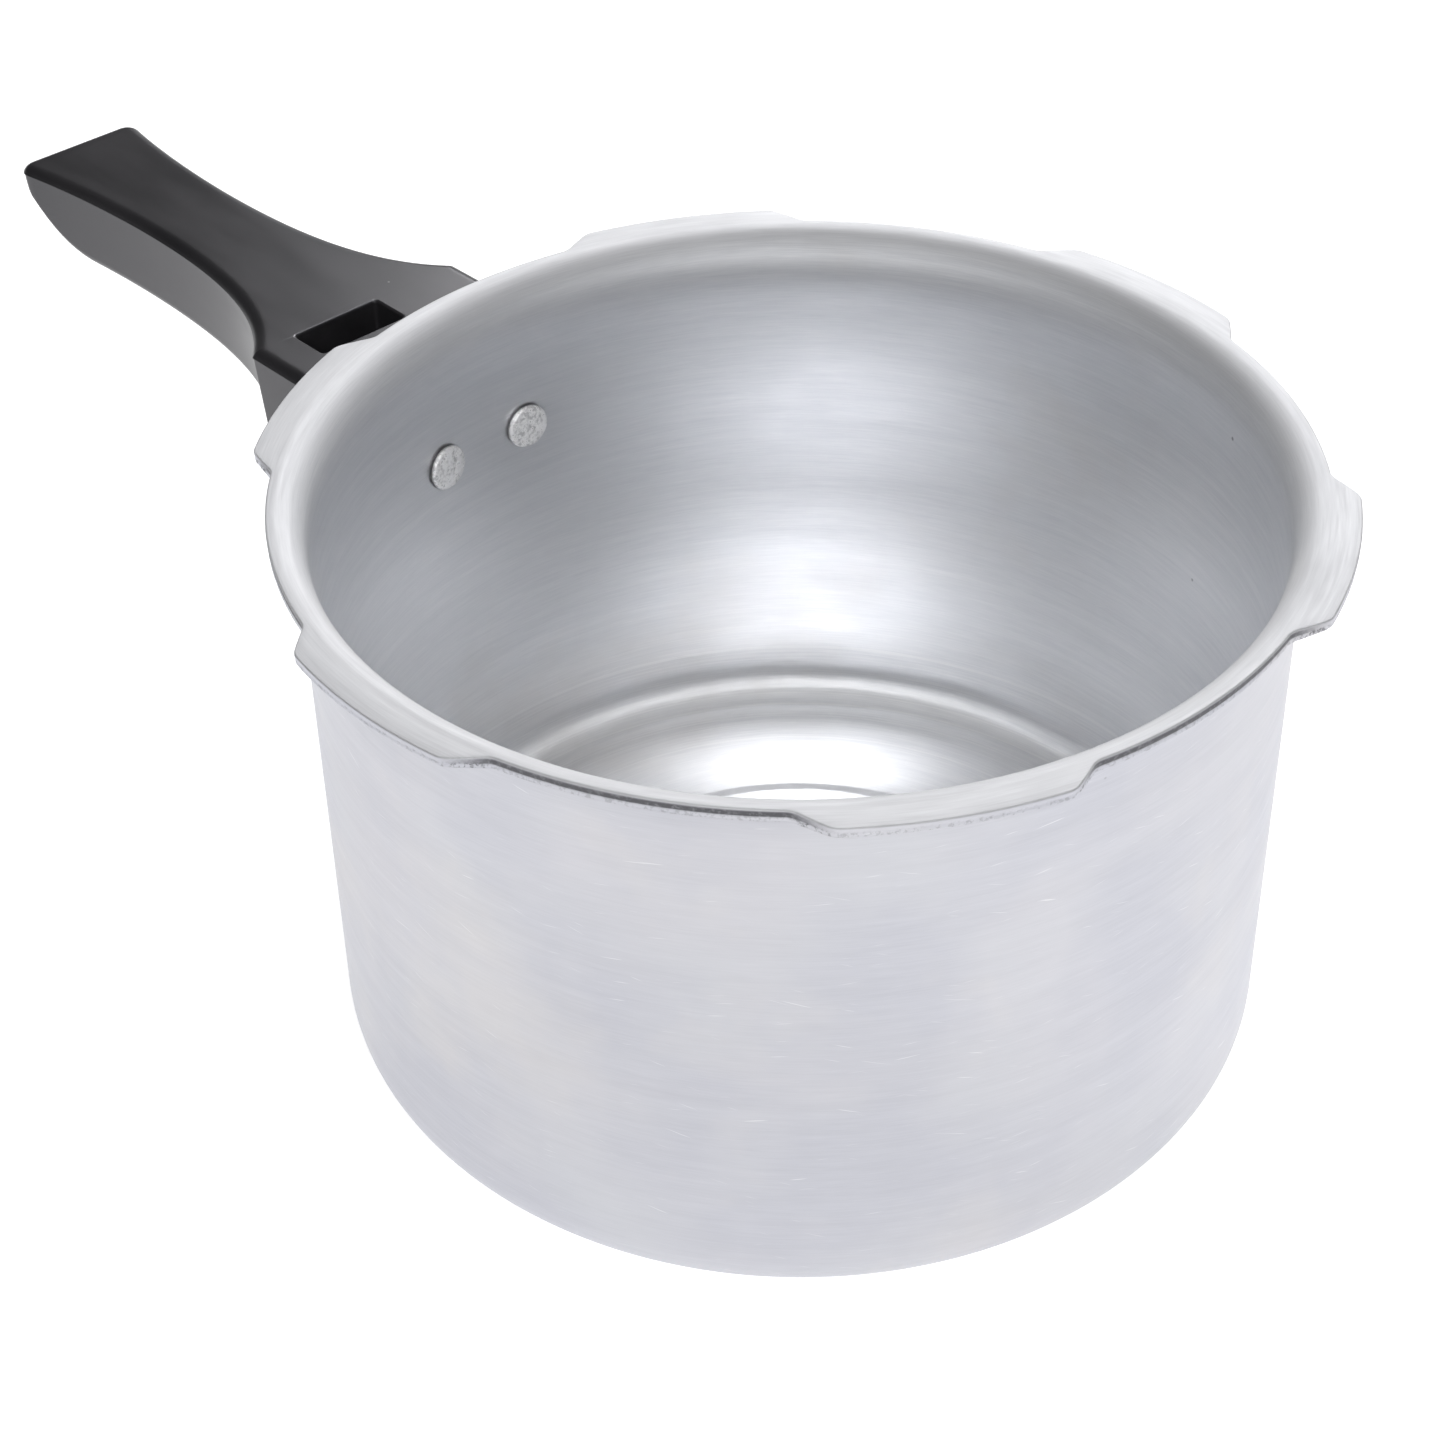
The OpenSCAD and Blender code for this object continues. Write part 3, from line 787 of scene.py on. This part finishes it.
def plated_steel(name, pale, deep, size, rough):
    """Plated steel: crystals of size millimetres in two tones, a thin haze and fine grain."""
    s = Shader(name)
    place = s.millimetres()
    crystals = s.add("TexVoronoi", {"Vector": place, "Scale": 1 / size}).outputs["Color"]
    haze = s.noise(place, 0.35, 4, 0.6)
    metal = s.blend(s.add("SeparateColor", {0: crystals}).outputs[0], deep, pale)
    metal = s.blend(s.spread(haze, 0.45, 0.7, 0.0, 0.35), metal, (0.45, 0.45, 0.44))
    grain_mark = s.noise(place, 5.0, 2)
    s.surface.inputs["Metallic"].default_value = 1
    return s.finish(Base_Color=metal, Roughness=s.spread(haze, 0.3, 0.7, rough, rough + 0.14),
                    Normal=s.bump(grain_mark, 0.3, 0.02))


def backdrop_white():
    """White studio table, matt and softly glowing, with the faintest mottle."""
    s = Shader("backdrop_white")
    mottle = s.noise(s.millimetres(), 0.004, 3)
    paper = s.blend(mottle, (0.48, 0.48, 0.485), (0.50, 0.50, 0.505))
    glow = s.blend(mottle, (0.97, 0.97, 0.975), (1.0, 1.0, 1.0))
    s.surface.inputs["Emission Strength"].default_value = 0.82
    return s.finish(Base_Color=paper, Roughness=0.9, Emission_Color=glow)


# ------------------------------------------------------------------ the studio
# Direction from the pan to the camera, in degrees from the X axis
VIEW_AZIMUTH = 135.6
# From the middle of the pan to each light, in metres
LIGHT_DISTANCE = 1.3


def build_floor():
    """Broad round table, just under the object and out to the horizon."""
    turns, height = 96, -0.02
    radii = (0.1, 40, 120, 300, 800, 2000, 8000, 60000)
    rings = [[(*polar(r, 360 * k / turns), height) for k in range(turns)] for r in radii]
    faces = skin(rings, True) + [tuple(range(turns))]
    floor = new_mesh("floor", [p for ring in rings for p in ring], faces)
    floor.data.materials.append(backdrop_white())


def add_light(name, azimuth, elevation, size, power):
    """Soft white panel that looks at the middle of the pan. Its azimuth is counted from the camera's."""
    lamp = bpy.data.lights.new(name, "AREA")
    lamp.shape = "RECTANGLE"
    lamp.size, lamp.size_y = size
    lamp.energy = power
    aim = Vector((0, 0, PAN_H / 2 * MM))
    flat, rise = polar(LIGHT_DISTANCE, elevation)
    back = Vector((*polar(flat, VIEW_AZIMUTH + azimuth), rise))
    light = bpy.data.objects.new(name, lamp)
    light.matrix_world = Matrix.Translation(aim + back) @ back.to_track_quat("Z", "Y").to_matrix().to_4x4()
    bpy.context.scene.collection.objects.link(light)


def build_world():
    """White studio all round the horizon, darker overhead."""
    world = bpy.data.worlds.new("studio")
    world.use_nodes = True
    bpy.context.scene.world = world
    nodes, links = world.node_tree.nodes, world.node_tree.links
    place = nodes.new("ShaderNodeTexCoord").outputs["Generated"]
    split = nodes.new("ShaderNodeSeparateXYZ")
    links.new(place, split.inputs[0])
    gradient = nodes.new("ShaderNodeValToRGB")
    links.new(split.outputs[2], gradient.inputs[0])
    stops = gradient.color_ramp.elements
    stops[0].position, stops[0].color = 0.35, (1, 1, 1, 1)
    stops[1].position, stops[1].color = 0.75, (0.3, 0.3, 0.32, 1)
    links.new(gradient.outputs[0], nodes["Background"].inputs["Color"])
    nodes["Background"].inputs["Strength"].default_value = 0.08


def add_camera():
    """Camera above and beside the pan, looking down into it. The lens is a long one."""
    radius, height = 0.5003, 0.4597
    pitch, yaw, roll, lens = 37.82, 1.88, 1.124, 72.43
    heading = VIEW_AZIMUTH + 180 + yaw
    forward = Vector((*polar(math.cos(math.radians(pitch)), heading), -math.sin(math.radians(pitch))))
    level = Vector((*polar(1, heading - 90), 0))
    right = Quaternion(forward, math.radians(roll)) @ level
    camera = bpy.data.objects.new("camera", bpy.data.cameras.new("camera"))
    camera.data.lens = lens
    camera.data.sensor_width = 36
    camera.data.clip_start = 0.01
    turn = Matrix((right, right.cross(forward), -forward)).transposed().to_4x4()
    camera.matrix_world = Matrix.Translation((*polar(radius, VIEW_AZIMUTH), height)) @ turn
    bpy.context.scene.collection.objects.link(camera)
    bpy.context.scene.camera = camera


def paint(piece, material):
    """The piece, or the carried-over CAD node, takes that one material."""
    if not piece.data.materials:
        piece.data.materials.append(material)
    for i in range(len(piece.data.materials)):
        piece.data.materials[i] = material


add_camera()
build_world()
build_floor()
add_light("front_panel", 0, 36, (0.55, 0.55), 7.5)
add_light("low_front_panel", 0, 12, (1.0, 0.4), 0.4)
add_light("high_front_panel", 0, 74, (0.4, 0.4), 1.4)
add_light("right_panel", 60, 50, (0.5, 0.5), 0.12)
add_light("back_panel", 168, 35, (0.86, 0.5), 12.5)
add_light("high_back_panel", 174, 58, (0.35, 0.4), 2.6)
bpy.context.scene.view_settings.view_transform = "Standard"

build_pan()
rivet_metal = hammered_aluminium()
paint(build_rivet("rivet_left", 1), rivet_metal)
paint(build_rivet("rivet_right", -1), rivet_metal)
paint(build_handle(), bakelite())
zinc = plated_steel("zinc_plate", (0.74, 0.75, 0.74), (0.60, 0.61, 0.62), 0.5, 0.28)
spring_steel = plated_steel("spring_steel", (0.42, 0.42, 0.43), (0.34, 0.34, 0.36), 0.3, 0.32)
galvanised = plated_steel("galvanised_steel", (0.68, 0.69, 0.71), (0.52, 0.53, 0.55), 3.0, 0.3)
finishes = {"screw": zinc, "plain_washer": zinc, "nut": zinc, "spring_washer": spring_steel}
for end in ("front", "rear"):
    for kind, finish in finishes.items():
        paint(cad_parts[f"{kind}_{end}"], finish)
paint(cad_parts["handle_bracket"], galvanised)
